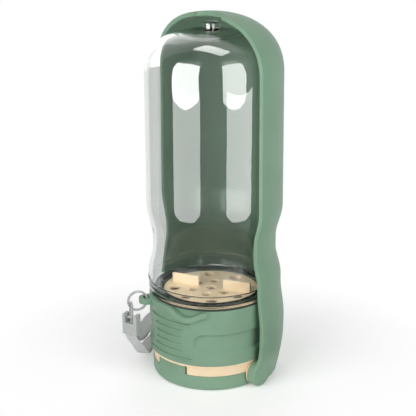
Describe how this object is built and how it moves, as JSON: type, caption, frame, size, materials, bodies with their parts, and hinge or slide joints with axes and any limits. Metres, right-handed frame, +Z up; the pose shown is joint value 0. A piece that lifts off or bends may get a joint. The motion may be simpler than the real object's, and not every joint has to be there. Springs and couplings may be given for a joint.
{
  "type": "dog travel water bottle",
  "caption": "Hand-held pet water bottle: clear domed tank on a twist valve base, with a folding half-capsule drinking trough, filter and wrist strap.",
  "frame": {"origin": "centre of the base cap's flat bottom, on the ground", "axes": "+Z up along the bottle's axis; the trough's open side faces -Y; the trough's pivot runs along X"},
  "size_m": [0.11, 0.0927, 0.218],
  "materials": {
    "green_plastic": "satin moulded plastic, sage green",
    "beige_plastic": "satin moulded plastic, cream beige",
    "clear_plastic": "clear, slightly smoky moulded plastic",
    "silicone": "dark grey silicone",
    "screw_steel": "bright",
    "ring_steel": "bright drawn wire",
    "grey_plastic": "grey moulded plastic",
    "webbing": "grey woven strap",
    "felt": "white filter felt",
    "carbon": "black carbon granules"
  },
  "bodies": {
    "base": {"base_cap": "green_plastic", "base_screws": "screw_steel", "base_seal": "silicone", "outlet_nozzle": "silicone", "valve_body": "beige_plastic", "valve_pad": "silicone"},
    "head": {"valve_rotor": "beige_plastic", "rotor_seal": "silicone", "rotor_screws": "screw_steel", "stem_washer": "screw_steel", "stem_screw": "screw_steel", "collar": "green_plastic", "thread_sleeve": "green_plastic", "tank": "clear_plastic", "tank_gasket": "silicone", "filter_basket": "beige_plastic", "lower_felt": "felt", "carbon_bed": "carbon", "upper_felt": "felt"},
    "lid": {"filter_lid": "beige_plastic"},
    "trough": {"trough": "green_plastic"},
    "ring": {"split_ring": "ring_steel"},
    "link": {"strap_link": "ring_steel"},
    "clamp": {"strap_clamp": "grey_plastic", "clamp_pin": "ring_steel", "strap_legs": "webbing", "strap_loop": "webbing"}
  },
  "joints": [
    {"name": "trough_fold", "type": "hinge", "parent": "base", "child": "trough", "pos_m": [0, 0, 0.0082], "axis": [-1, 0, 0], "range_deg": [0, 180], "deforming": ["strap_legs"]},
    {"name": "valve_twist", "type": "hinge", "parent": "base", "child": "head", "pos_m": [0, 0, 0], "axis": [0, 0, 1], "range_deg": [0, 45]},
    {"name": "lid_twist", "type": "hinge", "parent": "head", "child": "lid", "pos_m": [0, 0, 0.05], "axis": [0, 0, 1], "range_deg": [0, 40]},
    {"name": "ring_swing", "type": "hinge", "parent": "head", "child": "ring", "pos_m": [-0.01834, -0.036, 0.0498], "axis": [-0.891, 0.454, 0], "range_deg": [-15, 15]},
    {"name": "link_swing", "type": "hinge", "parent": "ring", "child": "link", "pos_m": [-0.02279, -0.04473, 0.0472], "axis": [-0.891, 0.454, 0], "range_deg": [-10, 10]},
    {"name": "clamp_swing", "type": "hinge", "parent": "link", "child": "clamp", "pos_m": [-0.02279, -0.04473, 0.0394], "axis": [0.972, 0.2351, 0], "range_deg": [-15, 15]}
  ]
}
